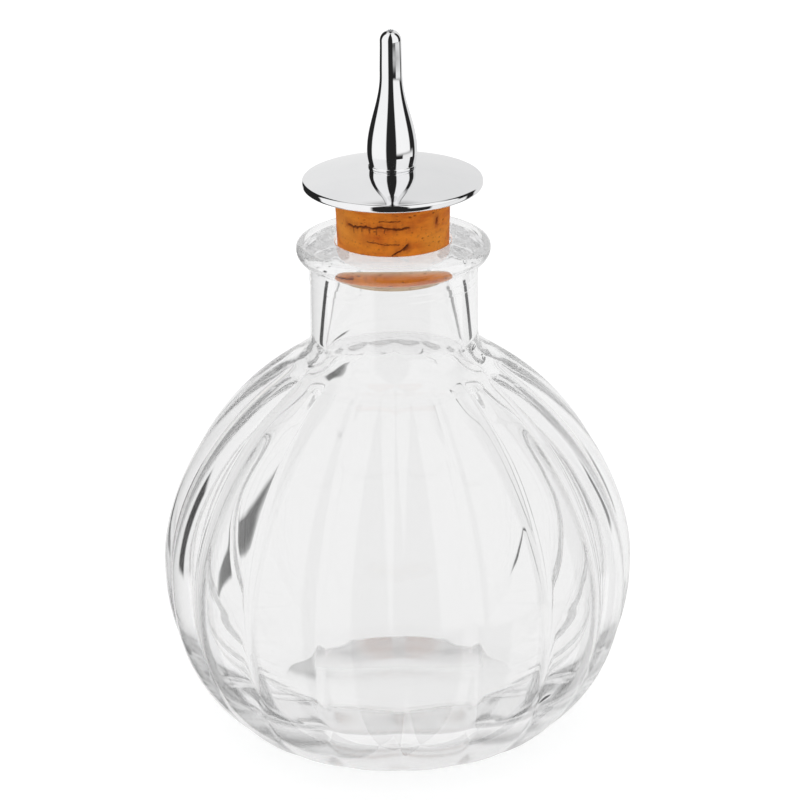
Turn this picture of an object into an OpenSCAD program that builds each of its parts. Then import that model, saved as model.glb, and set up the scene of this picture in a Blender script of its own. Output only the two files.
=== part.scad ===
// Bitters bottle: a melon-ribbed glass globe with a plain neck and a rolled lip,
// closed by a cork that carries a domed metal collar and a slim dash spout.
// Millimetres, +Z up, origin at the centre of the foot.

/* [Globe] */
// Width across the globe, from rib crest to rib crest
body_d = 86; // [80:1:92]
// Height of the widest ring above the table
equator_z = 32.5; // [31:0.5:34]
// Rise of the shoulder curve above the widest ring
shoulder_rise = 45; // [43:0.5:47]
// Fullness of the shoulder curve, where 2 is a plain ellipse
shoulder_power = 1.78; // [1.7:0.01:1.9]
// Drop of the lower curve below the widest ring, cut off flat at the table
base_drop = 39; // [38:0.5:41]
// Fullness of the lower curve
base_power = 2.25; // [2.1:0.05:2.4]
// Radius of the rounded edge at the foot
foot_round = 2; // [1:0.25:2.5]

/* [Ribs] */
// Number of ribs round the globe
rib_count = 18; // [16:2:20]
// Depth of the valleys between the ribs at the widest ring
rib_depth = 1.1; // [0.6:0.1:1.6]
// Share of that depth left at the foot
rib_foot = 0.45; // [0.3:0.05:1]
// Flat facets across one rib
rib_facets = 6; // [4:2:8]

/* [Glass] */
// Least thickness of the glass at the side, behind a valley
wall_t = 2.6; // [2:0.1:3.2]
// Thickness of the glass at the middle of the foot
floor_t = 6.5; // [5:0.5:8]
// Depth of the hollow under the foot
punt_h = 1; // [0.6:0.1:1.5]
// Width of the hollow under the foot
punt_d = 38; // [30:1:42]

/* [Neck] */
// Outer width of the neck
neck_d = 30.5; // [29:0.5:32]
// Height of the mouth above the table
mouth_z = 94.1; // [93:0.1:96]
// Outer width of the lip
lip_d = 35.2; // [34:0.2:37]
// Drop from the mouth to the widest ring of the lip
lip_drop = 1.8; // [1.6:0.1:2.2]
// Radius of the lip's underside
lip_under_r = 2.4; // [2:0.1:3]
// Radius of the lip's outer edge
lip_corner_r = 1.3; // [1:0.1:1.6]
// Angle at which the top of the lip falls to that edge
lip_slope = 20; // [17:1:24]
// Width of the level crest of the lip
lip_crest_d = 25.2; // [24.4:0.1:26]
// Run of the curve from the globe into the neck
neck_fillet = 3; // [2:0.25:4]
// Width of the bore at the cork
bore_d = 20.7; // [20.3:0.1:21.2]
// Width of the bore where the neck meets the globe
bore_low_d = 24.2; // [23:0.2:25]

/* [Stopper] */
// Width of the cork under the collar
cork_top_d = 20.9; // [20.5:0.1:21.5]
// Width of the cork at its lower end
cork_low_d = 20; // [19.6:0.1:20.2]
// Length of the cork
cork_h = 16.4; // [15:0.2:19]
// Length of the cork that sits in the neck
cork_in = 6.6; // [6:0.1:8]
// Height of the taper at the cork's foot
cork_taper_h = 1.5; // [1:0.1:2]
// How far that taper comes in
cork_taper_in = 0.9; // [0.5:0.1:1.2]
// Outer width of the tube through the cork
tube_d = 5; // [4:0.25:5.5]
// Wall of the tube
tube_wall = 0.7; // [0.5:0.1:1]
// Length of tube that shows under the cork
tube_out = 0.8; // [0.4:0.1:2]

/* [Collar] */
// Width of the collar
collar_d = 32.6; // [31:0.2:36]
// Thickness of the collar at its rim
rim_t = 1.45; // [1.2:0.05:1.8]
// Rise of the dome above the rim
dome_h = 2.4; // [1.6:0.1:3]
// Radius that breaks the rim's two edges
rim_round = 0.5; // [0.3:0.05:0.6]

/* [Spout] */
// Height of the spout above the collar
spout_h = 25.4; // [23:0.2:28]
// Width of the spout's bulb
bulb_d = 9.1; // [8.6:0.1:9.8]
// Height of the bulb's widest ring above the collar
bulb_z = 2.9; // [2.5:0.1:3.5]
// Width of the spout's foot
foot_d = 8.7; // [8.4:0.1:9]
// Width of the slim upper stem
stem_d = 4.1; // [3.8:0.1:4.4]
// Width of the rounded tip
tip_d = 3.9; // [3.6:0.1:4.1]
// Length of the curve from the bulb to the slim stem
sweep_h = 14.3; // [13:0.1:16]
// Width of the hole in the tip
orifice_d = 1; // [0.8:0.1:1.4]

/* [Hidden] */
$fn = 96;

body_r = body_d / 2;
neck_r = neck_d / 2;
lip_r = lip_d / 2;
bore_r = bore_d / 2;
bore_low_r = bore_low_d / 2;
tube_r = tube_d / 2;

// Heights of the stopper's pieces, worked up from the cork
cork_z = mouth_z - cork_in;
collar_z = cork_z + cork_h;
rim_z = collar_z + rim_t;
seat_r = foot_d / 2;
dome_edge_r = collar_d / 2 - rim_round;
dome_r = (pow(dome_edge_r, 2) + pow(dome_h, 2)) / (2 * dome_h);
dome_top_z = rim_z + dome_h;
seat_z = dome_top_z - dome_r + sqrt(pow(dome_r, 2) - pow(seat_r, 2));
tip_z = seat_z + spout_h;

// Steps along the curves
SHOULDER_STEPS = 16;
BASE_STEPS = 12;
ARC_STEPS = 8;
SPOUT_STEPS = 18;

// How far in the curve has come at share s of its rise: a superellipse
function fullness(s, power) = pow(max(0, 1 - pow(s, power)), 1 / power);
// The height share at which that curve has narrowed to a share q of its full radius
function share_at(q, power) = pow(1 - pow(q, power), 1 / power);

function quarter(cx, cz, rx, rz, from, to, steps = ARC_STEPS) =
    [for (i = [0:steps]) let (a = from + (to - from) * i / steps)
        [cx + rx * cos(a), cz + rz * sin(a)]];

function bezier(a, b, c, steps = ARC_STEPS) =
    [for (i = [0:steps]) let (t = i / steps)
        a * pow(1 - t, 2) + b * 2 * t * (1 - t) + c * t * t];

// Globe, from the foot to just inside the neck. Each entry is [radius, height].
lower_r = function (z) body_r * fullness((equator_z - z) / base_drop, base_power);
foot_cut = function (z) z < foot_round
    ? foot_round - sqrt(pow(foot_round, 2) - pow(foot_round - z, 2)) : 0;
inside_neck_r = bore_low_r + (neck_r - bore_low_r) / 2;
shoulder_top = share_at(inside_neck_r / body_r, shoulder_power);
shoulder_z = function (r) equator_z + shoulder_rise * share_at(r / body_r, shoulder_power);
lower_side = [for (i = [0:BASE_STEPS - 1])
    let (z = equator_z * (1 - cos(90 * i / BASE_STEPS)))
        [lower_r(z) - foot_cut(z), z]];
upper_side = [for (i = [0:SHOULDER_STEPS])
    let (s = shoulder_top * sin(90 * i / SHOULDER_STEPS))
        [body_r * fullness(s, shoulder_power), equator_z + shoulder_rise * s]];
side = concat(lower_side, upper_side);
side_n = len(side);

// Which way the shoulder faces. Below the widest ring a valley is cut straight inwards.
function facing(i) =
    i <= BASE_STEPS ? [1, 0]
    : let (a = side[i - 1], b = side[min(i + 1, side_n - 1)], d = b - a)
        [d[1], -d[0]] / norm(d);
// The ribs grow shallow towards the foot, and run out just before the neck
rib_fade_z = 16;
rib_neck_gap = 1.8;
rib_neck_fade = 5;
function smooth(t) = let (u = min(1, max(0, t))) u * u * (3 - 2 * u);
function rib_share(p) =
    p[0] / body_r
    * (rib_foot + (1 - rib_foot) * smooth(p[1] / rib_fade_z))
    * smooth((p[0] - neck_r - rib_neck_gap) / rib_neck_fade);
// A rib is an arc between two sharp valleys, with one valley at the front
function valley(az) = let (u = az * rib_count / 360, t = 2 * (u - floor(u)) - 1) t * t;
around = rib_count * rib_facets;
function ring_point(i, k) =
    let (az = 360 * k / around,
         cut = rib_depth * rib_share(side[i]) * valley(az),
         p = side[i] - facing(i) * cut)
        [p[0] * sin(az), -p[0] * cos(az), p[1]];
globe_points = concat(
    [for (i = [0:side_n - 1]) for (k = [0:around - 1]) ring_point(i, k)],
    [[0, 0, 0], [0, 0, side[side_n - 1][1]]]);
function at(i, k) = i * around + k % around;
globe_faces = concat(
    [for (i = [0:side_n - 2]) for (k = [0:around - 1]) [at(i, k), at(i + 1, k), at(i, k + 1)]],
    [for (i = [0:side_n - 2]) for (k = [0:around - 1]) [at(i, k + 1), at(i + 1, k), at(i + 1, k + 1)]],
    [for (k = [0:around - 1]) [side_n * around, at(0, k), at(0, k + 1)]],
    [for (k = [0:around - 1]) [side_n * around + 1, at(side_n - 1, k + 1), at(side_n - 1, k)]]);

// Neck and lip, outside. The curve at the neck's foot starts a little under the shoulder's surface.
fillet_dip = 0.4;
fillet_root = 1.5;
fillet_r = neck_r + neck_fillet;
fillet_z = shoulder_z(fillet_r);
fillet_knee_z = fillet_z + neck_fillet * 0.48;
fillet_top_z = fillet_z + neck_fillet * 1.45;
lip_z = mouth_z - lip_drop;
lip_under_x = lip_r - lip_under_r;
lip_foot_angle = acos((neck_r - lip_under_x) / lip_under_r);
lip_edge = quarter(lip_r - lip_corner_r, lip_z, lip_corner_r, lip_corner_r, 0, 90 - lip_slope);
lip_fall = lip_edge[ARC_STEPS];
lip_knee_r = lip_fall[0] - (mouth_z - lip_fall[1]) / tan(lip_slope);
neck_outline = concat(
    [[0, fillet_z - fillet_root], [fillet_r, fillet_z - fillet_root]],
    bezier([fillet_r, fillet_z - fillet_dip], [neck_r, fillet_knee_z], [neck_r, fillet_top_z]),
    quarter(lip_under_x, lip_z, lip_under_r, lip_under_r, -lip_foot_angle, 0),
    lip_edge,
    bezier(lip_fall, [lip_knee_r, mouth_z], [lip_crest_d / 2, mouth_z]),
    [[0, mouth_z]]);

// Hollow of the bottle: floor, side, shoulder, flare, bore and the rounded edge of the mouth.
// The glass is thicker at the top of the shoulder than at the side.
shoulder_extra_t = 1.9;
flare_in = 6;
flare_up = 8;
flare_knee_up = 2.2;
bore_seat = 0.6;
hollow_r = body_r - rib_depth - wall_t;
hollow_drop = equator_z - floor_t;
hollow_rise = shoulder_rise - wall_t - shoulder_extra_t;
floor_power = 2.7;
hollow_top_r = bore_low_r + flare_in;
hollow_top = share_at(hollow_top_r / hollow_r, shoulder_power);
hollow_top_z = equator_z + hollow_rise * hollow_top;
bore_low_z = hollow_top_z + flare_up;
bore_high_z = cork_z - bore_seat;
mouth_round = 0.9;
hollow_outline = concat(
    [for (i = [0:BASE_STEPS - 1])
        let (a = 90 * i / BASE_STEPS)
            [hollow_r * fullness(cos(a), floor_power), equator_z - hollow_drop * cos(a)]],
    [for (i = [0:SHOULDER_STEPS])
        let (s = hollow_top * sin(90 * i / SHOULDER_STEPS))
            [hollow_r * fullness(s, shoulder_power), equator_z + hollow_rise * s]],
    bezier([hollow_top_r, hollow_top_z], [bore_low_r, hollow_top_z + flare_knee_up], [bore_low_r, bore_low_z]),
    [[bore_r, bore_high_z]],
    quarter(bore_r + mouth_round, mouth_z - mouth_round, mouth_round, mouth_round, 180, 90),
    [[bore_r + mouth_round, mouth_z + 1], [0, mouth_z + 1]]);
punt_sphere_r = (pow(punt_d / 2, 2) + pow(punt_h, 2)) / (2 * punt_h);

module bottle() {
    color([0.93, 0.95, 0.95, 0.4])
    difference() {
        union() {
            polyhedron(globe_points, globe_faces);
            rotate_extrude() polygon(neck_outline);
        }
        rotate_extrude() polygon(hollow_outline);
        translate([0, 0, punt_h - punt_sphere_r]) sphere(punt_sphere_r);
    }
}

// Cork: a plain taper with a narrowed foot and a broken upper edge, bored for the tube
cork_edge = 0.4;
module cork() {
    color([0.78, 0.49, 0.2])
    rotate_extrude()
    polygon([
        [tube_r, cork_z],
        [cork_low_d / 2 - cork_taper_in, cork_z],
        [cork_low_d / 2, cork_z + cork_taper_h],
        [cork_top_d / 2, collar_z - cork_edge],
        [cork_top_d / 2 - cork_edge, collar_z],
        [tube_r, collar_z]
    ]);
}

// Tube from under the cork into the spout's foot
socket_h = 4;
module stem_tube() {
    length = tube_out + cork_h + seat_z - collar_z + socket_h;
    color([0.75, 0.76, 0.78])
    translate([0, 0, cork_z - tube_out])
    difference() {
        cylinder(r = tube_r, h = length);
        translate([0, 0, -1]) cylinder(r = tube_r - tube_wall, h = length + 2);
    }
}

// Collar: flat below, domed above, with a level seat for the spout
dome_edge_a = asin(dome_edge_r / dome_r);
dome_seat_a = asin(seat_r / dome_r);
module collar_disc() {
    color([0.83, 0.84, 0.86])
    rotate_extrude()
    polygon(concat(
        [[tube_r, collar_z]],
        quarter(collar_d / 2 - rim_round, collar_z + rim_round, rim_round, rim_round, -90, 0, 4),
        quarter(collar_d / 2 - rim_round, rim_z - rim_round, rim_round, rim_round, 0, 90, 4),
        quarter(0, dome_top_z - dome_r, dome_r, dome_r, 90 - dome_edge_a, 90 - dome_seat_a),
        [[tube_r, seat_z]]
    ));
}

// Spout: foot, bulb, long sweep to a slim stem, round tip with a fine hole. Its bore widens downwards.
tip_r = tip_d / 2;
stem_r = stem_d / 2;
bulb_r = bulb_d / 2;
foot_bead_h = 0.5;
foot_groove = 0.12;
sweep_z = seat_z + bulb_z;
tip_centre_z = tip_z - tip_r;
orifice_h = 2.2;
bore_foot_r = tube_r - tube_wall;
stem_wall = 0.9;
bore_tip_r = stem_r - stem_wall;
spout_outline = concat(
    [[tube_r, seat_z], [seat_r, seat_z], [seat_r, seat_z + foot_bead_h],
     [seat_r - foot_groove, seat_z + foot_bead_h + foot_groove]],
    [for (i = [1:ARC_STEPS]) let (t = i / ARC_STEPS)
        [seat_r - foot_groove + (bulb_r - seat_r + foot_groove) * sin(90 * t),
         seat_z + foot_bead_h + foot_groove + (bulb_z - foot_bead_h - foot_groove) * t]],
    [for (i = [1:SPOUT_STEPS]) let (t = i / SPOUT_STEPS)
        [stem_r + (bulb_r - stem_r) * (1 + cos(180 * t)) / 2, sweep_z + sweep_h * t]],
    quarter(0, tip_centre_z, tip_r, tip_r, 0, acos(orifice_d / 2 / tip_r)),
    [[orifice_d / 2, tip_z - orifice_h], [bore_tip_r, tip_z - orifice_h - 1],
     [bore_tip_r, sweep_z + sweep_h], [bore_foot_r, seat_z + socket_h + 2],
     [bore_foot_r, seat_z + socket_h], [tube_r, seat_z + socket_h]]);
module spout() {
    color([0.83, 0.84, 0.86])
    rotate_extrude() polygon(spout_outline);
}

bottle();
cork();
stem_tube();
collar_disc();
spout();
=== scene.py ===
"""Looks of the bitters bottle: a ribbed glass globe, a cork, and a chromed collar with a dash spout.

Lengths are millimetres until a mesh is made. +Z is up, and the camera stands on the -Y side.
"""

import math

import bmesh
import bpy
from mathutils import Matrix, Vector, noise


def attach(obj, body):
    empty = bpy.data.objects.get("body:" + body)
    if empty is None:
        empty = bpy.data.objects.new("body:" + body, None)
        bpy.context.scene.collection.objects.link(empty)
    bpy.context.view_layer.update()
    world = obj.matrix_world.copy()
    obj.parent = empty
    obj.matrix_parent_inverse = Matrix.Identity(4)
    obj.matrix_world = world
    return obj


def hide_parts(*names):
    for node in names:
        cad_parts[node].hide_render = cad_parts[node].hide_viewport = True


MM = 0.001
TAU = 2 * math.pi
QUARTER = math.pi / 2
DEGREES = 180 / math.pi

# Globe: one superellipse above the widest ring and one below it, cut off flat at the table
BODY_R = 43.0
EQUATOR_Z = 32.5
SHOULDER_RISE = 45.0
SHOULDER_POWER = 1.78
BASE_DROP = 39.0
BASE_POWER = 2.25
FOOT_ROUND = 2.0

# The glass is scuffed below the first height and clear above the second
WEAR_LOW_Z = 1.1
WEAR_HIGH_Z = 2.2

# Ribs on the outside, the share of their depth at the foot, and how they run out at foot and neck
RIB_COUNT = 18
RIB_DEPTH = 1.1
RIB_FOOT = 0.45
RIB_FADE_Z = 16.0
RIB_NECK_GAP = 1.8
RIB_NECK_FADE = 5.0
CREASE_ROUND = 0.12

# Share of the ribs that the inner wall repeats, and how they run out there
INNER_RIB = 0.9
INNER_TOP_FADE = 12
INNER_FLOOR_GAP = 2
INNER_FLOOR_FADE = 14

# Thickness of the glass at the side, its increase at the top of the shoulder, and the floor
WALL_T = 2.6
SHOULDER_EXTRA_T = 1.9
FLOOR_T = 6.5
FLOOR_POWER = 2.7

# Hollow under the foot
PUNT_H = 1.0
PUNT_R = 19.0

# Neck. The curve at its foot has its knee and its top at shares of NECK_FILLET, and NECK_TOP_GAP keeps the
# neck's last row off the lip.
NECK_R = 15.25
NECK_FILLET = 3.0
FILLET_KNEE = 0.48
FILLET_TOP = 1.45
NECK_TOP_GAP = 0.3
MOUTH_Z = 94.1

# Faint rings round the neck, each with its height and its rise
NECK_RINGS = [(87.8, 0.035), (86.4, 0.03)]
NECK_RING_HALF = 0.4

# Lip: a round underside, a rounded edge, and a top that falls from a level crest
LIP_R = 17.6
LIP_DROP = 1.8
LIP_UNDER_R = 2.4
LIP_CORNER_R = 1.3
LIP_SLOPE = 23.0
LIP_CREST_R = 12.6
MOUTH_ROUND = 0.9

# Bore: straight down to BORE_SEAT below the cork, then wider, then flared into the globe
BORE_R = 10.35
BORE_LOW_R = 12.1
BORE_SEAT = 0.6
FLARE_IN = 6.0
FLARE_UP = 8.0
FLARE_KNEE_OUT = 0.2
FLARE_KNEE_DOWN = 0.72

# Steps along the curves of the glass
COLUMNS_PER_RIB = 24
PUNT_STEPS = 8
BASE_STEPS = 70
SHOULDER_STEPS = 90
FILLET_STEPS = 8
NECK_STEPS = 11
NECK_RING_STEPS = 4
LIP_UNDER_STEPS = 16
LIP_TOP_STEPS = 14
MOUTH_STEPS = 8
BORE_STEPS = 8
TAPER_STEPS = 12
FLARE_STEPS = 12
HOLLOW_SHOULDER_STEPS = 80
HOLLOW_BASE_STEPS = 60

# Cork, with the height and the blur of the painted light that makes its foot pale
CORK_IN = 6.6
CORK_H = 16.4
CORK_TOP_R = 10.45
CORK_LOW_R = 10.0
CORK_EDGE = 0.4
CORK_TAPER_H = 1.5
CORK_TAPER_IN = 0.9
CORK_LIT_FOOT_H = 2.2
CORK_LIT_FOOT_BLEND = 2.4
CORK_COLUMNS = 540
CORK_ROWS = 170
CORK_FOOT_STEPS = 24
CORK_TAPER_STEPS = 16

# How rough the cork is at the start of its taper and on its upper edge, where its side has 1
TAPER_ROUGH = 0.5
EDGE_ROUGH = 0.3

# Tube, and the play between it and the pieces round it
TUBE_R = 2.5
TUBE_WALL = 0.7
TUBE_OUT = 0.8
TUBE_EDGE = 0.12
TUBE_STEPS = 12
TUBE_COLUMNS = 96
PLAY = 0.02

# Collar: a rim with two broken edges, a dome, and a level seat for the spout
COLLAR_R = 16.3
RIM_T = 1.45
RIM_ROUND = 0.5
DOME_H = 2.4
SEAT_R = 4.35
SEAT_IN = 0.2
UNDERSIDE_RUN = 12.5
UNDERSIDE_STEPS = 10
RIM_STEPS = 12
DOME_STEPS = 48
COLLAR_COLUMNS = 288

# Spout: a bead and a groove at its foot, a bulb, a long sweep, a slim stem and a round tip. Its play is the
# gap to the collar under it and to the tube inside it.
SPOUT_H = 25.4
SPOUT_PLAY = 0.01
SPOUT_EDGE = 0.1
FOOT_IN = 0.4
BEAD_H = 0.5
BEAD_TURN = 80
GROOVE = 0.12
GROOVE_FOOT_IN = 0.03
GROOVE_FOOT_DOWN = 0.04
BULB_R = 4.55
BULB_Z = 2.9
SWEEP_H = 14.3
STEM_R = 2.05
TIP_R = 1.95
BULB_STEPS = 24
SWEEP_STEPS = 90
STEM_STEPS = 12
TIP_STEPS = 28
SPOUT_COLUMNS = 192

# Inside of the spout: depths below its tip, the wall of its stem, its socket and the cone on that
ORIFICE_R = 0.5
ORIFICE_H = 2.2
ORIFICE_CONE_H = 3.2
STEM_WALL = 0.9
SOCKET_H = 4.0
SOCKET_CONE_H = 2

# Steps round the small edges: of cork and tube, and of the spout
EDGE_STEPS = 4
SPOUT_EDGE_STEPS = 5

# Heights of the stopper's pieces, worked up from the cork
CORK_Z = MOUTH_Z - CORK_IN
COLLAR_Z = CORK_Z + CORK_H
RIM_Z = COLLAR_Z + RIM_T
DOME_EDGE_R = COLLAR_R - RIM_ROUND
DOME_R = (DOME_EDGE_R**2 + DOME_H**2) / (2 * DOME_H)
DOME_CENTRE_Z = RIM_Z + DOME_H - DOME_R
SEAT_Z = DOME_CENTRE_Z + math.sqrt(DOME_R**2 - SEAT_R**2)
TIP_Z = SEAT_Z + SPOUT_H


# Curves


def fullness(share, power):
    """Radius share of a superellipse at a share of its height."""
    return max(0.0, 1 - share**power) ** (1 / power)


def share_at(radius_share, power):
    """Height share at which a superellipse has narrowed to a share of its radius."""
    return (1 - radius_share**power) ** (1 / power)


def arc(cx, cz, rx, rz, start, end, steps):
    """Points of an elliptic arc, angles in degrees, both ends in."""
    out = []
    for i in range(steps + 1):
        a = math.radians(start + (end - start) * i / steps)
        out.append((cx + rx * math.cos(a), cz + rz * math.sin(a)))
    return out


def bend(a, b, c, steps):
    """Quadratic curve from a to c that leaves and arrives along the lines to b, without a itself."""
    out = []
    for i in range(1, steps + 1):
        t = i / steps
        out.append(tuple((1 - t) ** 2 * p + 2 * t * (1 - t) * q + t * t * r for p, q, r in zip(a, b, c)))
    return out


def smooth(t):
    """Soft step from 0 at 0 to 1 at 1."""
    t = min(1.0, max(0.0, t))
    return t * t * (3 - 2 * t)


# Meshes


def finish_mesh(name, verts, faces, body, node, material):
    """Make a smooth mesh that faces outwards, put it on its body and let it stand for its node."""
    mesh = bpy.data.meshes.new(name)
    mesh.from_pydata([(x * MM, y * MM, z * MM) for x, y, z in verts], [], faces)
    bm = bmesh.new()
    bm.from_mesh(mesh)
    bmesh.ops.recalc_face_normals(bm, faces=bm.faces)
    bm.to_mesh(mesh)
    bm.free()
    mesh.polygons.foreach_set("use_smooth", [True] * len(mesh.polygons))
    mesh.materials.append(material)
    piece = bpy.data.objects.new(name, mesh)
    bpy.context.scene.collection.objects.link(piece)
    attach(piece, body)
    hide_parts(node)
    return piece


def keep_values(piece, name, values):
    """Store one number for each vertex, for the material to read."""
    attribute = piece.data.attributes.new(name, "FLOAT", "POINT")
    attribute.data.foreach_set("value", values)


def around(points, columns, place):
    """Rings of vertices, one for each outline point, and the quads between them."""
    verts = []
    for point in points:
        for k in range(columns):
            verts.append(place(point, TAU * k / columns))
    faces = []
    for i in range(len(points) - 1):
        for k in range(columns):
            n = (k + 1) % columns
            faces.append((i * columns + k, i * columns + n, (i + 1) * columns + n, (i + 1) * columns + k))
    return verts, faces


def spin(point, azimuth):
    """Azimuth 0 is the front, -Y, and it grows towards +X."""
    return point[0] * math.sin(azimuth), -point[0] * math.cos(azimuth), point[1]


def ring(points, columns, place=spin):
    """A closed outline spun round the axis, so its last ring joins its first."""
    verts, faces = around(points, columns, place)
    last = (len(points) - 1) * columns
    for k in range(columns):
        n = (k + 1) % columns
        faces.append((last + k, last + n, n, k))
    return verts, faces


# Glass


def rib_valley(azimuth):
    """0 on the crest of a rib and nearly 1 in the crease beside it, which is slightly rounded."""
    turn = azimuth * RIB_COUNT / TAU
    t = abs(2 * (turn - math.floor(turn)) - 1)
    if t <= 1 - CREASE_ROUND:
        return t * t
    k = (t - 1 + CREASE_ROUND) / CREASE_ROUND
    return (1 - CREASE_ROUND) ** 2 + (1 - CREASE_ROUND) * CREASE_ROUND * (2 * k - k * k)


def globe_outline():
    """Outside of the globe, from the hollow under the foot to the neck: radius, height, rib share."""
    out = []
    punt_r = (PUNT_R**2 + PUNT_H**2) / (2 * PUNT_H)
    for i in range(1, PUNT_STEPS + 1):
        r = PUNT_R * i / PUNT_STEPS
        out.append((r, PUNT_H - punt_r + math.sqrt(punt_r**2 - r**2), 0.0))
    for i in range(BASE_STEPS):
        z = EQUATOR_Z * (1 - math.cos(QUARTER * i / BASE_STEPS))
        r = BODY_R * fullness((EQUATOR_Z - z) / BASE_DROP, BASE_POWER)
        if z < FOOT_ROUND:
            r -= FOOT_ROUND - math.sqrt(FOOT_ROUND**2 - (FOOT_ROUND - z) ** 2)
        share = RIB_FOOT + (1 - RIB_FOOT) * smooth(z / RIB_FADE_Z)
        out.append((r, z, r / BODY_R * share))
    top = share_at((NECK_R + NECK_FILLET) / BODY_R, SHOULDER_POWER)
    for i in range(SHOULDER_STEPS + 1):
        s = top * math.sin(QUARTER * i / SHOULDER_STEPS)
        r = BODY_R * fullness(s, SHOULDER_POWER)
        fade = smooth((r - NECK_R - RIB_NECK_GAP) / RIB_NECK_FADE)
        out.append((r, EQUATOR_Z + SHOULDER_RISE * s, r / BODY_R * fade))
    return out


def neck_outline(foot_r, foot_z):
    """Outside of neck and lip, from the curve at the neck's foot to the crest: radius, height."""
    neck_z = foot_z + NECK_FILLET * FILLET_TOP
    knee = (NECK_R, foot_z + NECK_FILLET * FILLET_KNEE)
    out = bend((foot_r, foot_z), knee, (NECK_R, neck_z), FILLET_STEPS)
    lip_z = MOUTH_Z - LIP_DROP
    under_x = LIP_R - LIP_UNDER_R
    angle = math.degrees(math.acos((NECK_R - under_x) / LIP_UNDER_R))
    lip_foot_z = lip_z - LIP_UNDER_R * math.sin(math.radians(angle))
    rise = lip_foot_z - NECK_TOP_GAP - neck_z
    heights = [neck_z + rise * i / NECK_STEPS for i in range(1, NECK_STEPS + 1)]
    for ring_z, _ in NECK_RINGS:
        for i in range(-NECK_RING_STEPS, NECK_RING_STEPS + 1):
            heights.append(ring_z + NECK_RING_HALF * i / NECK_RING_STEPS)
    for z in sorted(heights):
        swell = sum(up * smooth(1 - abs(z - ring_z) / NECK_RING_HALF) for ring_z, up in NECK_RINGS)
        out.append((NECK_R + swell, z))
    out += arc(under_x, lip_z, LIP_UNDER_R, LIP_UNDER_R, -angle, 0, LIP_UNDER_STEPS)
    edge_x = LIP_R - LIP_CORNER_R
    out += arc(edge_x, lip_z, LIP_CORNER_R, LIP_CORNER_R, 0, 90 - LIP_SLOPE, LIP_TOP_STEPS)[1:]
    corner_r, corner_z = out[-1]
    knee_r = corner_r - (MOUTH_Z - corner_z) / math.tan(math.radians(LIP_SLOPE))
    out += bend((corner_r, corner_z), (knee_r, MOUTH_Z), (LIP_CREST_R, MOUTH_Z), LIP_TOP_STEPS)
    out.append(((LIP_CREST_R + BORE_R + MOUTH_ROUND) / 2, MOUTH_Z))
    return out


def bore_outline(flare_r, flare_z):
    """Inside of mouth, neck and flare, from the mouth down to the globe's hollow: radius, height."""
    out = arc(BORE_R + MOUTH_ROUND, MOUTH_Z - MOUTH_ROUND, MOUTH_ROUND, MOUTH_ROUND, 90, 180, MOUTH_STEPS)
    low_z = flare_z + FLARE_UP
    high_z = CORK_Z - BORE_SEAT
    run = high_z - MOUTH_Z + MOUTH_ROUND
    for i in range(1, BORE_STEPS):
        out.append((BORE_R, MOUTH_Z - MOUTH_ROUND + run * i / BORE_STEPS))
    for i in range(TAPER_STEPS + 1):
        t = i / TAPER_STEPS
        out.append((BORE_R + (BORE_LOW_R - BORE_R) * t, high_z + (low_z - high_z) * t))
    knee = (BORE_LOW_R + FLARE_KNEE_OUT, low_z - FLARE_UP * FLARE_KNEE_DOWN)
    out += bend((BORE_LOW_R, low_z), knee, (flare_r, flare_z), FLARE_STEPS)[:-1]
    return out


def inner_outline():
    """Inside of the glass from the mouth down to the middle of the floor: radius, height, rib share."""
    hollow_r = BODY_R - RIB_DEPTH * (1 - INNER_RIB) - WALL_T
    hollow_rise = SHOULDER_RISE - WALL_T - SHOULDER_EXTRA_T
    flare_r = BORE_LOW_R + FLARE_IN
    top = share_at(flare_r / hollow_r, SHOULDER_POWER)
    flare_z = EQUATOR_Z + hollow_rise * top
    out = [(r, z, 0.0) for r, z in bore_outline(flare_r, flare_z)]
    for i in range(HOLLOW_SHOULDER_STEPS, -1, -1):
        s = top * math.sin(QUARTER * i / HOLLOW_SHOULDER_STEPS)
        r = hollow_r * fullness(s, SHOULDER_POWER)
        fade = smooth((r - flare_r) / INNER_TOP_FADE)
        out.append((r, EQUATOR_Z + hollow_rise * s, INNER_RIB * r / BODY_R * fade))
    for i in range(HOLLOW_BASE_STEPS - 1, 0, -1):
        a = QUARTER * i / HOLLOW_BASE_STEPS
        r = hollow_r * fullness(math.cos(a), FLOOR_POWER)
        z = EQUATOR_Z - (EQUATOR_Z - FLOOR_T) * math.cos(a)
        fade = smooth((z - FLOOR_T - INNER_FLOOR_GAP) / INNER_FLOOR_FADE)
        out.append((r, z, INNER_RIB * r / BODY_R * fade))
    return out


def facings(outline):
    """Which way is outwards at each outline point, for the ribs. Up to the widest ring it is level."""
    out = []
    for i, (_, z, rib) in enumerate(outline):
        if rib > 0 and z > EQUATOR_Z:
            r0, z0, _ = outline[i - 1]
            r1, z1, _ = outline[i + 1]
            step = math.copysign(math.hypot(r1 - r0, z1 - z0), z1 - z0)
            out.append(((z1 - z0) / step, (r0 - r1) / step))
        else:
            out.append((1.0, 0.0))
    return out


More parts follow.
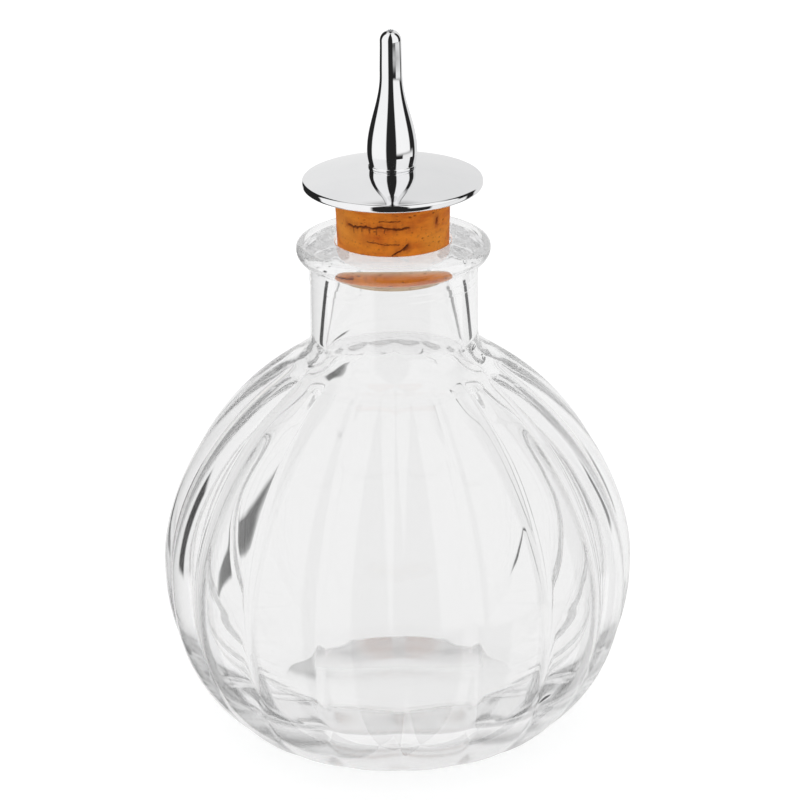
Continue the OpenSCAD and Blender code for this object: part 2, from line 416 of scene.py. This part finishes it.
def make_bottle(material):
    """The glass: one closed wall, ribbed outside and in, with a scuffed foot."""
    globe = globe_outline()
    foot_r, foot_z, _ = globe[-1]
    neck = [(r, z, 0.0) for r, z in neck_outline(foot_r, foot_z)]
    outline = globe + neck + inner_outline()
    facing = facings(outline)
    columns = RIB_COUNT * COLUMNS_PER_RIB
    valleys = [rib_valley(TAU * k / columns) for k in range(columns)]

    def place(index, azimuth):
        r, z, rib = outline[index]
        cut = RIB_DEPTH * rib * valleys[round(azimuth / TAU * columns)]
        nx, nz = facing[index]
        return spin((r - nx * cut, z - nz * cut), azimuth)

    verts, faces = around(list(range(len(outline))), columns, place)
    last = (len(outline) - 1) * columns
    under = len(verts)
    floor_top = under + 1
    verts += [(0, 0, PUNT_H), (0, 0, FLOOR_T)]
    for k in range(columns):
        n = (k + 1) % columns
        faces.append((under, n, k))
        faces.append((floor_top, last + k, last + n))
    piece = finish_mesh("glass_bottle", verts, faces, "bottle", "bottle", material)
    worn = []
    for _, z, _ in outline:
        worn += [1 - smooth((z - WEAR_LOW_Z) / (WEAR_HIGH_Z - WEAR_LOW_Z))] * columns
    keep_values(piece, "worn", worn + [1.0, 0.0])


# Cork

# Splits in the cork: points as (degrees round from the front, height), half width, depth
SPLITS = [
    (
        [(-51, 98.9), (-44, 98.6), (-29, 99.1), (-21, 98.9), (-13, 99.3), (-3, 99.0), (8, 98.9), (16, 99.1)],
        0.17,
        0.4,
    ),
    ([(-14, 100.4), (-1, 100.4), (7, 100.5)], 0.09, 0.2),
    ([(-27, 96.3), (-16, 96.2), (-8, 95.9), (-3, 96.1), (6, 96.0)], 0.08, 0.22),
    ([(-1, 94.0), (6, 94.7), (11, 95.2)], 0.13, 0.4),
    ([(11, 95.1), (14.5, 95.6)], 0.3, 0.5),
    ([(49.2, 99.0), (50.2, 99.8)], 0.18, 0.45),
    ([(-44, 98.5), (-43, 97.6)], 0.08, 0.2),
    ([(-33, 98.9), (-33, 98.0)], 0.08, 0.2),
    ([(-25, 98.8), (-24, 98.1)], 0.08, 0.2),
    ([(-17, 98.9), (-17, 97.8)], 0.08, 0.2),
    ([(-8, 98.9), (-9, 98.2)], 0.08, 0.2),
    ([(120, 96.0), (135, 96.4), (151, 96.1)], 0.15, 0.4),
    ([(175, 99.2), (196, 99.5), (207, 99.2)], 0.12, 0.35),
    ([(236, 94.8), (240, 97.2)], 0.1, 0.3),
    ([(-65, 90.5), (-50, 90.9), (-38, 90.6)], 0.12, 0.3),
    ([(60, 89.6), (78, 89.9)], 0.12, 0.3),
]
DEEPEST_SPLIT = 0.5

# A split's soft edge in half widths, and the reach of the reddish painted shade round it
SPLIT_SOFT = 1.7
SPLIT_SHADE_REACH = 1.7

# How far a split strays from its line, and how often that changes round the cork, along it and by depth
STRAY = 0.18
STRAY_ROUND = 0.35
STRAY_ALONG = 2.0
STRAY_BY_DEPTH = 9

# Pores: how many, their least radius and depth, and how much these vary
PIT_COUNT = 260
PIT_R = 0.1
PIT_R_SPREAD = 0.22
PIT_DEPTH = 0.12
PIT_DEPTH_SPREAD = 0.2
PIT_DARKNESS = 0.8

# A pore is drawn out round the cork, so widths count less than heights
PIT_STRETCH = 0.55
SHELVES_PER_MM = 2

# The grain's relief, and how often it changes round the cork and along it
GRAIN_CUT = 0.05
GRAIN_ROUND = 0.35
GRAIN_ALONG = 1.3


def scatter(i, k):
    """A fixed number from 0 to 1 for item i, kind k. The factors only keep the draws apart."""
    place = Vector((i * 12.9898 + k * 78.233, k * 3.17 + 0.5, i * 0.731))
    return (noise.noise(place) * 43758.5453) % 1.0


def split_gap(azimuth, z, radius, line):
    """How far a point of the cork's side is from the line of a split."""
    best = math.inf
    for (a0, z0), (a1, z1) in zip(line, line[1:]):
        mid = (a0 + a1) / 2
        turn = (azimuth - mid + 180) % 360 - 180
        px = math.radians(turn + mid - a0) * radius
        pz = z - z0
        dx = math.radians(a1 - a0) * radius
        dz = z1 - z0
        t = min(1.0, max(0.0, (px * dx + pz * dz) / (dx * dx + dz * dz)))
        best = min(best, math.hypot(px - t * dx, pz - t * dz))
    return best


def scatter_pits():
    """Pores as (degrees, height, radius, depth), filed under the shelves of height that they may reach."""
    rise = COLLAR_Z - CORK_Z
    shelves = {}
    for i in range(PIT_COUNT):
        radius = PIT_R + PIT_R_SPREAD * scatter(i, 3) ** 3
        azimuth = scatter(i, 1) * 360
        z = CORK_Z + rise * scatter(i, 2)
        depth = PIT_DEPTH + PIT_DEPTH_SPREAD * scatter(i, 4)
        shelf = int(z * SHELVES_PER_MM)
        for key in range(shelf - 1, shelf + 3):
            shelves.setdefault(key, []).append((azimuth, z, radius, depth))
    return shelves


def cork_outline():
    """Outside of the cork from its underside to its top: radius, height, roughness share."""
    foot_r = CORK_LOW_R - CORK_TAPER_IN
    rows = [(TUBE_R + PLAY, CORK_Z, 0.0)]
    for i in range(1, CORK_FOOT_STEPS):
        rows.append((TUBE_R + (foot_r - TUBE_R) * i / CORK_FOOT_STEPS, CORK_Z, 0.0))
    for i in range(CORK_TAPER_STEPS):
        t = i / CORK_TAPER_STEPS
        rough = TAPER_ROUGH + (1 - TAPER_ROUGH) * t
        rows.append((foot_r + CORK_TAPER_IN * t, CORK_Z + CORK_TAPER_H * t, rough))
    rise = COLLAR_Z - CORK_Z
    for i in range(CORK_ROWS):
        t = i / CORK_ROWS
        z = CORK_Z + CORK_TAPER_H + (rise - CORK_TAPER_H - CORK_EDGE) * t
        rows.append((CORK_LOW_R + (CORK_TOP_R - CORK_LOW_R) * t, z, 1.0))
    edge = arc(CORK_TOP_R - CORK_EDGE, COLLAR_Z - CORK_EDGE, CORK_EDGE, CORK_EDGE, 0, 90, EDGE_STEPS)
    rows += [(r, z, EDGE_ROUGH) for r, z in edge]
    rows.append((TUBE_R + PLAY, COLLAR_Z, 0.0))
    return rows


def grain_cut(azimuth, r, z):
    """How deep the grain lies at a point of the cork's side."""
    place = (r * math.sin(azimuth) * GRAIN_ROUND, r * math.cos(azimuth) * GRAIN_ROUND, z * GRAIN_ALONG)
    return GRAIN_CUT * (noise.noise(Vector(place)) + 0.5)


def split_marks(degrees, r, z, cut):
    """Painted shade in and round the splits, and depth, at a point of the cork's side, once the splits are
    cut.
    """
    dark = 0.0
    split_shade = 0.0
    for line, half_width, depth in SPLITS:
        low = min(point[1] for point in line) - SPLIT_SHADE_REACH
        high = max(point[1] for point in line) + SPLIT_SHADE_REACH
        if low < z < high:
            place = Vector((degrees * STRAY_ROUND, z * STRAY_ALONG, depth * STRAY_BY_DEPTH))
            gap = split_gap(degrees, z + STRAY * noise.noise(place), r, line)
            share = smooth(1 - gap / (half_width * SPLIT_SOFT))
            # Painted shade inside the split
            dark = max(dark, share)
            cut = max(cut, depth * share)
            # Reddish painted shade round the split, strongest at the deepest splits
            split_shade = max(split_shade, smooth(1 - gap / SPLIT_SHADE_REACH) * depth / DEEPEST_SPLIT)
    return dark, cut, split_shade


def pit_marks(degrees, r, z, pits, dark, cut):
    """Darkness and depth at a point of the cork's side, once the pores near it are cut."""
    for azimuth, pit_z, radius, depth in pits:
        turn = (degrees - azimuth + 180) % 360 - 180
        gap = math.hypot(math.radians(turn) * r * PIT_STRETCH, z - pit_z) / radius
        if gap < 1:
            dark = max(dark, PIT_DARKNESS * smooth(1 - gap))
            cut = max(cut, depth * smooth(1 - gap))
    return dark, cut


def make_cork(material):
    """The cork, with splits and pores cut in, painted shade marked at the splits and painted light at the
    foot.
    """
    shelves = scatter_pits()
    pits = []
    split_shades = []
    lit_feet = []

    def place(row, azimuth):
        r, z, rough = row
        dark = 0.0
        cut = 0.0
        split_shade = 0.0
        if rough > 0:
            degrees = math.degrees(azimuth)
            dark, cut, split_shade = split_marks(degrees, r, z, grain_cut(azimuth, r, z))
            dark, cut = pit_marks(degrees, r, z, shelves.get(int(z * SHELVES_PER_MM), []), dark, cut)
        pits.append(dark)
        split_shades.append(split_shade)
        # Painted light: the cork's foot made pale, as if lit from below
        lit_feet.append(smooth((CORK_Z + CORK_LIT_FOOT_H - z) / CORK_LIT_FOOT_BLEND + 0.5))
        return spin((r - cut * rough, z), azimuth)

    verts, faces = ring(cork_outline(), CORK_COLUMNS, place)
    piece = finish_mesh("cork_plug", verts, faces, "stopper", "cork", material)
    keep_values(piece, "pores_and_split_shade", pits)
    keep_values(piece, "split_shade", split_shades)
    keep_values(piece, "foot", lit_feet)


# Metal


def make_tube(material):
    """The tube through the cork, with two rounded edges at its open lower end."""
    top = SEAT_Z + SOCKET_H - PLAY
    low = CORK_Z - TUBE_OUT
    inner = TUBE_R - TUBE_WALL
    outline = arc(inner + TUBE_EDGE, low + TUBE_EDGE, TUBE_EDGE, TUBE_EDGE, 180, 270, EDGE_STEPS)
    outline += arc(TUBE_R - TUBE_EDGE, low + TUBE_EDGE, TUBE_EDGE, TUBE_EDGE, -90, 0, EDGE_STEPS)
    outline += [(TUBE_R, low + (top - low) * i / TUBE_STEPS) for i in range(1, TUBE_STEPS)]
    outline += [(TUBE_R, top), (inner, top)]
    outline += [(inner, top - (top - low) * i / TUBE_STEPS) for i in range(1, TUBE_STEPS)]
    verts, faces = ring(outline, TUBE_COLUMNS)
    finish_mesh("steel_tube", verts, faces, "stopper", "stem_tube", material)


def make_collar(material):
    """The collar: flat below, domed above, with broken edges at the rim."""
    outline = []
    for i in range(UNDERSIDE_STEPS + 1):
        outline.append((TUBE_R + PLAY + UNDERSIDE_RUN * i / UNDERSIDE_STEPS, COLLAR_Z))
    outline += arc(DOME_EDGE_R, COLLAR_Z + RIM_ROUND, RIM_ROUND, RIM_ROUND, -90, 0, RIM_STEPS)
    outline += arc(DOME_EDGE_R, RIM_Z - RIM_ROUND, RIM_ROUND, RIM_ROUND, 0, 90, RIM_STEPS)
    edge_a = math.degrees(math.asin(DOME_EDGE_R / DOME_R))
    seat_a = math.degrees(math.asin(SEAT_R / DOME_R))
    outline += arc(0, DOME_CENTRE_Z, DOME_R, DOME_R, 90 - edge_a, 90 - seat_a, DOME_STEPS)[1:]
    outline += [(SEAT_R - SEAT_IN, SEAT_Z), (TUBE_R + PLAY, SEAT_Z)]
    verts, faces = ring(outline, COLLAR_COLUMNS)
    finish_mesh("chrome_collar", verts, faces, "stopper", "collar_disc", material)


def spout_foot():
    """Outline of the spout's foot: its underside, the bead and the groove above it."""
    edge = SPOUT_EDGE
    foot_z = SEAT_Z + SPOUT_PLAY
    outline = [(TUBE_R + SPOUT_PLAY, foot_z), (SEAT_R - FOOT_IN, foot_z)]
    outline += arc(SEAT_R - edge, foot_z + edge, edge, edge, -90, 0, SPOUT_EDGE_STEPS)
    outline += arc(SEAT_R - edge, SEAT_Z + BEAD_H - edge, edge, edge, 0, BEAD_TURN, SPOUT_EDGE_STEPS)
    groove_r = SEAT_R - GROOVE
    groove_z = SEAT_Z + BEAD_H + GROOVE
    outline += [(groove_r - GROOVE_FOOT_IN, groove_z - GROOVE_FOOT_DOWN), (groove_r, groove_z)]
    return outline


def spout_side(groove_r, groove_z):
    """Outline from the groove over the bulb and along the sweep and the stem, up to the tip."""
    outline = []
    sweep_z = SEAT_Z + BULB_Z
    for i in range(1, BULB_STEPS + 1):
        t = i / BULB_STEPS
        r = groove_r + (BULB_R - groove_r) * math.sin(QUARTER * t)
        outline.append((r, groove_z + (sweep_z - groove_z) * t))
    for i in range(1, SWEEP_STEPS + 1):
        t = i / SWEEP_STEPS
        r = STEM_R + (BULB_R - STEM_R) * (1 + math.cos(math.pi * t)) / 2
        outline.append((r, sweep_z + SWEEP_H * t))
    rise = TIP_Z - TIP_R - sweep_z - SWEEP_H
    for i in range(1, STEM_STEPS):
        t = i / STEM_STEPS
        outline.append((STEM_R + (TIP_R - STEM_R) * smooth(t), sweep_z + SWEEP_H + rise * t))
    return outline


def spout_tip():
    """Outline of the round tip, over the edge of the hole and into it."""
    edge = SPOUT_EDGE
    tip_centre = TIP_Z - TIP_R
    mouth_a = math.degrees(math.acos((ORIFICE_R + edge) / TIP_R))
    outline = arc(0, tip_centre, TIP_R, TIP_R, 0, mouth_a, TIP_STEPS)
    rim_z = tip_centre + TIP_R * math.sin(math.radians(mouth_a)) - edge
    outline += arc(ORIFICE_R + edge, rim_z, edge, edge, 90, 180, SPOUT_EDGE_STEPS)[1:]
    return outline


def make_spout(material):
    """The spout, with a bore that widens from the hole in its tip to the socket for the tube."""
    outline = spout_foot()
    outline += spout_side(*outline[-1])
    outline += spout_tip()
    stem_bore = STEM_R - STEM_WALL
    foot_bore = TUBE_R - TUBE_WALL
    socket_z = SEAT_Z + SOCKET_H
    outline += [(ORIFICE_R, TIP_Z - ORIFICE_H), (stem_bore, TIP_Z - ORIFICE_CONE_H)]
    outline += [(stem_bore, SEAT_Z + BULB_Z + SWEEP_H), (foot_bore, socket_z + SOCKET_CONE_H)]
    outline += [(foot_bore, socket_z), (TUBE_R + SPOUT_PLAY, socket_z)]
    verts, faces = ring(outline, SPOUT_COLUMNS)
    finish_mesh("chrome_spout", verts, faces, "stopper", "spout", material)


# Node trees


class Graph:
    """Short ways to add and join nodes of one tree."""

    def __init__(self, tree):
        self.nodes = tree.nodes
        self.links = tree.links
        self.nodes.clear()

    def put(self, socket, value):
        """Link a socket to another one, or give it a plain value."""
        if isinstance(value, bpy.types.NodeSocket):
            self.links.new(value, socket)
        else:
            socket.default_value = value

    def add(self, kind, **values):
        """A new node, its inputs set by name."""
        node = self.nodes.new(kind)
        for key, value in values.items():
            self.put(node.inputs[key], value)
        return node

    def attribute(self, name):
        """The numbers that a mesh keeps for its vertices."""
        node = self.add("ShaderNodeAttribute")
        node.attribute_name = name
        return node.outputs["Fac"]

    def math(self, operation, a, b=0.0):
        """One operation on one or two numbers."""
        node = self.nodes.new("ShaderNodeMath")
        node.operation = operation
        self.put(node.inputs[0], a)
        self.put(node.inputs[1], b)
        return node.outputs[0]

    def ramp(self, value, low, high, out_low=0.0, out_high=1.0):
        """A soft step from out_low to out_high, while the value goes from low to high."""
        node = self.nodes.new("ShaderNodeMapRange")
        node.interpolation_type = "SMOOTHSTEP"
        self.put(node.inputs["Value"], value)
        node.inputs["From Min"].default_value = low
        node.inputs["From Max"].default_value = high
        node.inputs["To Min"].default_value = out_low
        node.inputs["To Max"].default_value = out_high
        return node.outputs["Result"]

    def band(self, value, low, high, soft):
        """1 between low and high, with soft edges."""
        up = self.ramp(value, low - soft, low + soft)
        down = self.ramp(value, high - soft, high + soft, out_low=1.0, out_high=0.0)
        return self.math("MULTIPLY", up, down)

    def mix(self, factor, a, b):
        """Shader a where the factor is 0 and shader b where it is 1."""
        node = self.nodes.new("ShaderNodeMixShader")
        self.put(node.inputs[0], factor)
        self.put(node.inputs[1], a)
        self.put(node.inputs[2], b)
        return node.outputs[0]

    def blend_colour(self, factor, a, b):
        """Colour a where the factor is 0 and colour b where it is 1. Sockets 6 and 7 take colours."""
        node = self.nodes.new("ShaderNodeMix")
        node.data_type = "RGBA"
        self.put(node.inputs["Factor"], factor)
        self.put(node.inputs[6], a)
        self.put(node.inputs[7], b)
        return node.outputs[2]

    def noise(self, scale, stretch=(1.0, 1.0, 1.0), detail=3.0, roughness=0.5):
        """Noise in object space, in metres, stretched by three numbers."""
        place = self.nodes.new("ShaderNodeTexCoord")
        mapping = self.nodes.new("ShaderNodeMapping")
        self.put(mapping.inputs["Vector"], place.outputs["Object"])
        mapping.inputs["Scale"].default_value = stretch
        node = self.add("ShaderNodeTexNoise", Scale=scale, Detail=detail, Roughness=roughness)
        self.put(node.inputs["Vector"], mapping.outputs[0])
        return node.outputs["Fac"]

    def bump(self, height, strength, distance):
        """Relief in the light on a surface, its distance in metres."""
        node = self.add("ShaderNodeBump", Strength=strength, Distance=distance, Height=height)
        return node.outputs[0]


def new_material(name):
    """A material and the graph of its nodes."""
    material = bpy.data.materials.new(name)
    material.use_nodes = True
    return material, Graph(material.node_tree)


# Materials

WHITE = (1, 1, 1, 1)

# Clear glass: its tint at each surface and in its body, and what is left of light in its shadow
GLASS_TINT = (0.938, 0.938, 0.938, 1)
GLASS_BODY = (0.5, 0.5, 0.5, 1)
GLASS_DENSITY = 3.5
GLASS_SHADOW = (0.93, 0.94, 0.94, 1)
GLASS_IOR = 1.51
SMEAR_ROUGHNESS = 0.012
FOOT_ROUGHNESS = 0.2

# Each metal's two tones
CHROME_DARK = (0.86, 0.865, 0.875, 1)
CHROME_LIGHT = (0.93, 0.93, 0.935, 1)
STEEL_DARK = (0.55, 0.56, 0.58, 1)
STEEL_LIGHT = (0.74, 0.75, 0.76, 1)

# Cork: two tones of its grain, then what lies over them
CORK_ORANGE = (0.95, 0.27, 0.015, 1)
CORK_BROWN = (0.70, 0.145, 0.006, 1)
CORK_TAN = (0.95, 0.36, 0.035, 1)
# Painted shade: a darker reddish brown round the splits
CORK_SPLIT_SHADE = (0.44, 0.085, 0.008, 1)
# Painted light: the pale colour of the cork's foot
CORK_PAINTED_LIGHT = (0.78, 0.66, 0.48, 1)
CORK_CELL = (0.38, 0.10, 0.014, 1)
# Dark colour of the pores, also used as painted shade inside the splits
CORK_PORE_AND_SPLIT_SHADE = (0.09, 0.022, 0.006, 1)
CORK_ROUGHNESS = 0.72
CORK_SPECULAR = 0.3
FOOT_PAINTED_LIGHT = 0.85
PORE_AND_SPLIT_SHADE_DARKNESS = 0.9


def glass_material():
    """Clear pressed glass. Shadow rays pass with a light loss, so it throws a pale shadow."""
    material, g = new_material("clear_glass")
    ripple = g.noise(90.0, stretch=(1.0, 1.0, 0.35), detail=2.0)
    smear = g.noise(260.0, detail=4.0)
    glass = g.add("ShaderNodeBsdfPrincipled")
    glass.inputs["Base Color"].default_value = GLASS_TINT
    glass.inputs["Transmission Weight"].default_value = 1.0
    glass.inputs["IOR"].default_value = GLASS_IOR
    scuffs = g.math("MULTIPLY", g.attribute("worn"), FOOT_ROUGHNESS)
    smears = g.ramp(smear, low=0.45, high=0.8, out_high=SMEAR_ROUGHNESS)
    g.put(glass.inputs["Roughness"], g.math("ADD", smears, scuffs))
    g.put(glass.inputs["Normal"], g.bump(ripple, strength=0.12, distance=0.0004))
    clear = g.add("ShaderNodeBsdfTransparent", Color=GLASS_SHADOW)
    path = g.add("ShaderNodeLightPath")
    out = g.add("ShaderNodeOutputMaterial")
    surface = g.mix(path.outputs["Is Shadow Ray"], glass.outputs[0], clear.outputs[0])
    g.put(out.inputs["Surface"], surface)
    body = g.add("ShaderNodeVolumeAbsorption", Color=GLASS_BODY, Density=GLASS_DENSITY)
    g.put(out.inputs["Volume"], body.outputs[0])
    return material


def chrome_material():
    """Polished chrome with fine wiping marks."""
    material, g = new_material("polished_chrome")
    marks = g.noise(900.0, stretch=(1.0, 1.0, 0.15), detail=5.0, roughness=0.6)
    cloud = g.noise(140.0)
    metal = g.add("ShaderNodeBsdfPrincipled")
    g.put(metal.inputs["Base Color"], g.blend_colour(cloud, CHROME_DARK, CHROME_LIGHT))
    metal.inputs["Metallic"].default_value = 1.0
    g.put(metal.inputs["Roughness"], g.ramp(marks, low=0.3, high=0.8, out_low=0.02, out_high=0.07))
    g.put(metal.inputs["Normal"], g.bump(cloud, strength=0.05, distance=0.0004))
    out = g.add("ShaderNodeOutputMaterial")
    g.put(out.inputs["Surface"], metal.outputs[0])
    return material


def steel_material():
    """Drawn steel, with fine lines along the tube."""
    material, g = new_material("drawn_steel")
    lines = g.noise(2600.0, stretch=(1.0, 1.0, 0.02), roughness=0.6)
    metal = g.add("ShaderNodeBsdfPrincipled")
    g.put(metal.inputs["Base Color"], g.blend_colour(lines, STEEL_DARK, STEEL_LIGHT))
    metal.inputs["Metallic"].default_value = 1.0
    g.put(metal.inputs["Roughness"], g.ramp(lines, low=0.3, high=0.7, out_low=0.16, out_high=0.34))
    g.put(metal.inputs["Normal"], g.bump(lines, strength=0.2, distance=0.00005))
    out = g.add("ShaderNodeOutputMaterial")
    g.put(out.inputs["Surface"], metal.outputs[0])
    return material


def cork_material():
    """Orange-brown cork: flowing grain, pores, splits in painted shade, reddish round them, and painted
    light on its foot.
    """
    material, g = new_material("natural_cork")
    grain = g.noise(170.0, stretch=(1.0, 1.0, 3.2), detail=5.0, roughness=0.6)
    cells = g.noise(1500.0, detail=4.0, roughness=0.7)
    patch = g.noise(75.0, stretch=(1.0, 1.0, 0.8))
    pores_and_split_shade = g.attribute("pores_and_split_shade")
    strands = g.noise(1100.0, stretch=(1.0, 1.0, 0.12), roughness=0.6)
    split_shade = g.attribute("split_shade")
    foot = g.attribute("foot")
    base = g.blend_colour(g.ramp(grain, low=0.35, high=0.68), CORK_ORANGE, CORK_BROWN)
    base = g.blend_colour(g.ramp(patch, low=0.5, high=0.75, out_high=0.7), base, CORK_TAN)
    streaks = g.ramp(strands, low=0.4, high=0.62, out_low=0.4, out_high=0.95)
    # Painted shade round the splits, broken up by the cork's strands
    base = g.blend_colour(g.math("MULTIPLY", split_shade, streaks), base, CORK_SPLIT_SHADE)
    # Painted light that makes the cork's foot pale
    base = g.blend_colour(g.math("MULTIPLY", foot, FOOT_PAINTED_LIGHT), base, CORK_PAINTED_LIGHT)
    base = g.blend_colour(g.ramp(cells, low=0.56, high=0.72, out_high=0.65), base, CORK_CELL)
    # Dark pores, and painted shade inside the splits
    base = g.blend_colour(g.math("MULTIPLY", pores_and_split_shade, PORE_AND_SPLIT_SHADE_DARKNESS), base, CORK_PORE_AND_SPLIT_SHADE)
    body = g.add("ShaderNodeBsdfPrincipled")
    g.put(body.inputs["Base Color"], base)
    body.inputs["Roughness"].default_value = CORK_ROUGHNESS
    body.inputs["Specular IOR Level"].default_value = CORK_SPECULAR
    g.put(body.inputs["Normal"], g.bump(g.math("ADD", cells, grain), strength=0.5, distance=0.0002))
    out = g.add("ShaderNodeOutputMaterial")
    g.put(out.inputs["Surface"], body.outputs[0])
    return material


# Studio

# Panels of the studio as metal reflects it: azimuth and elevation ranges in degrees, softness, brightness.
# Azimuth 0 is behind the camera. Between the panels it is nearly black, which draws the strokes on metal.
PANELS = [
    (-104, -27, -95, 75, 3, 1.0),
    (20, 90, -14, 75, 3, 1.0),
    (50, 108, -95, -14, 3, 0.9),
    (-200, -157, -95, 52, 4, 0.85),
    (126, 200, -95, 52, 4, 0.8),
    (-150, -34, 55, 100, 8, 0.85),
    (30, 145, 55, 100, 8, 0.85),
]
STUDIO_BLACK = 0.02

# What is dark in the studio as seen through the glass: three bars behind the bottle, two to the left, of
# which the first leans, and one to the right. Each is an azimuth range, the elevation of its middle at the
# first azimuth, the rise of that middle for each degree on, half its height, softness and brightness.
BARS = [
    (-170, -163.5, -18, -1.3, 4, 1.2, 0.05),
    (-143, -133.5, -7, 0.0, 11, 1.5, 0.05),
    (143, 152, -5, 0.0, 6, 1.5, 0.12),
]
THROUGH_GLASS = 1.0

# Light on matt surfaces, and the table: half its width, its drop below zero, its colour and its glow
AMBIENT = 0.8
FLOOR_HALF = 3000
FLOOR_DROP = 0.01
FLOOR_COLOUR = (0.8, 0.8, 0.8, 1)
FLOOR_GLOW = 0.45


def make_world():
    """White to the camera, panels to metal, white with dark bars through glass, even to matt surfaces."""
    world = bpy.data.worlds.new("studio")
    bpy.context.scene.world = world
    world.use_nodes = True
    g = Graph(world.node_tree)
    place = g.add("ShaderNodeTexCoord")
    path = g.add("ShaderNodeLightPath")
    ways = g.add("ShaderNodeSeparateXYZ", Vector=place.outputs["Generated"])
    turn = g.math("ARCTAN2", ways.outputs["X"], g.math("MULTIPLY", ways.outputs["Y"], -1.0))
    azimuth = g.math("MULTIPLY", turn, DEGREES)
    elevation = g.math("MULTIPLY", g.math("ARCSINE", ways.outputs["Z"]), DEGREES)
    reflected = STUDIO_BLACK
    for az_low, az_high, el_low, el_high, soft, value in PANELS:
        across = g.band(azimuth, az_low, az_high, soft)
        panel = g.math("MULTIPLY", across, g.band(elevation, el_low, el_high, soft))
        reflected = g.math("MAXIMUM", reflected, g.math("MULTIPLY", panel, value))
    through = THROUGH_GLASS
    for az_low, az_high, start, lean, half, soft, value in BARS:
        leant = g.math("MULTIPLY", g.math("SUBTRACT", azimuth, az_low), lean)
        height = g.math("SUBTRACT", elevation, g.math("ADD", leant, start))
        bar = g.math("MULTIPLY", g.band(height, -half, half, soft), g.band(azimuth, az_low, az_high, soft))
        left = g.math("SUBTRACT", THROUGH_GLASS, g.math("MULTIPLY", bar, THROUGH_GLASS - value))
        through = g.math("MINIMUM", through, left)
    panels = g.add("ShaderNodeBackground", Color=reflected)
    bars = g.add("ShaderNodeBackground", Color=through)
    even = g.add("ShaderNodeBackground", Color=WHITE, Strength=AMBIENT)
    white = g.add("ShaderNodeBackground", Color=WHITE, Strength=1.0)
    glassy = g.math("GREATER_THAN", path.outputs["Transmission Depth"], 0.5)
    seen = g.mix(glassy, panels.outputs[0], bars.outputs[0])
    seen = g.mix(path.outputs["Is Diffuse Ray"], seen, even.outputs[0])
    seen = g.mix(path.outputs["Is Camera Ray"], seen, white.outputs[0])
    out = g.add("ShaderNodeOutputWorld")
    g.put(out.inputs["Surface"], seen)


def make_floor():
    """A plain pale table. Metal and glass look past it, at the studio round them."""
    mesh = bpy.data.meshes.new("floor")
    corners = [(-1, -1), (1, -1), (1, 1), (-1, 1)]
    verts = [(x * FLOOR_HALF * MM, y * FLOOR_HALF * MM, -FLOOR_DROP * MM) for x, y in corners]
    mesh.from_pydata(verts, [], [(0, 1, 2, 3)])
    floor = bpy.data.objects.new("floor", mesh)
    bpy.context.scene.collection.objects.link(floor)
    material, g = new_material("pale_floor")
    mesh.materials.append(material)
    path = g.add("ShaderNodeLightPath")
    matt = g.add("ShaderNodeBsdfDiffuse", Color=FLOOR_COLOUR)
    glow = g.add("ShaderNodeEmission", Strength=FLOOR_GLOW)
    both = g.add("ShaderNodeAddShader")
    g.put(both.inputs[0], matt.outputs[0])
    g.put(both.inputs[1], glow.outputs[0])
    clear = g.add("ShaderNodeBsdfTransparent")
    passed = g.math("MAXIMUM", path.outputs["Is Glossy Ray"], path.outputs["Is Transmission Ray"])
    shown = g.mix(path.outputs["Is Diffuse Ray"], both.outputs[0], matt.outputs[0])
    shown = g.mix(passed, shown, clear.outputs[0])
    out = g.add("ShaderNodeOutputMaterial")
    g.put(out.inputs["Surface"], shown)


# The photograph's view, from a fit to the outline. Angles are degrees, and sizes in pixels end in PX.
CAMERA_DISTANCE = 900.0
CAMERA_ELEVATION = 20.62
CAMERA_ROLL = -0.772
TARGET_Z = 62.683
FOCAL_PX = 4927.7
CENTRE_PX = 395.368
PICTURE_PX = 800
SENSOR_W = 36


def make_camera():
    """A camera that looks at the axis from the front and above, slightly rolled."""
    elevation = math.radians(CAMERA_ELEVATION)
    roll = math.radians(CAMERA_ROLL)
    camera = bpy.data.cameras.new("camera")
    holder = bpy.data.objects.new("camera", camera)
    bpy.context.scene.collection.objects.link(holder)
    back = Vector((0, -math.cos(elevation), math.sin(elevation)))
    side = Vector((1, 0, 0))
    upward = Vector((0, math.sin(elevation), math.cos(elevation)))
    right = side * math.cos(roll) + upward * math.sin(roll)
    top = upward * math.cos(roll) - side * math.sin(roll)
    matrix = Matrix((right, top, back)).transposed().to_4x4()
    matrix.translation = (back * CAMERA_DISTANCE + Vector((0, 0, TARGET_Z))) * MM
    holder.matrix_world = matrix
    camera.sensor_width = SENSOR_W
    camera.lens = FOCAL_PX / PICTURE_PX * SENSOR_W
    camera.shift_x = (PICTURE_PX / 2 - CENTRE_PX) / PICTURE_PX
    camera.clip_start = 0.01
    camera.clip_end = 100
    bpy.context.scene.camera = holder


def set_scene():
    """Plain view settings, and enough bounces for light that is thrown about inside the lip."""
    scene = bpy.context.scene
    scene.view_settings.view_transform = "Standard"
    scene.cycles.max_bounces = 48
    scene.cycles.transmission_bounces = 48
    scene.cycles.glossy_bounces = 40
    scene.cycles.transparent_max_bounces = 24


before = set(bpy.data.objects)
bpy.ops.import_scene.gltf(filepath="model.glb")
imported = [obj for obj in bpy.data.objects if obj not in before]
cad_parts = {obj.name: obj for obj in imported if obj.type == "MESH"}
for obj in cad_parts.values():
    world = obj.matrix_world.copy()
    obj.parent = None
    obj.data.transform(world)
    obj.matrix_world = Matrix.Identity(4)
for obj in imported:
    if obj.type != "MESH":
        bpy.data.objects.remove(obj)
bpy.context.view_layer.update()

make_camera()
make_floor()
make_world()
chrome = chrome_material()
make_bottle(glass_material())
make_cork(cork_material())
make_tube(steel_material())
make_collar(chrome)
make_spout(chrome)
set_scene()
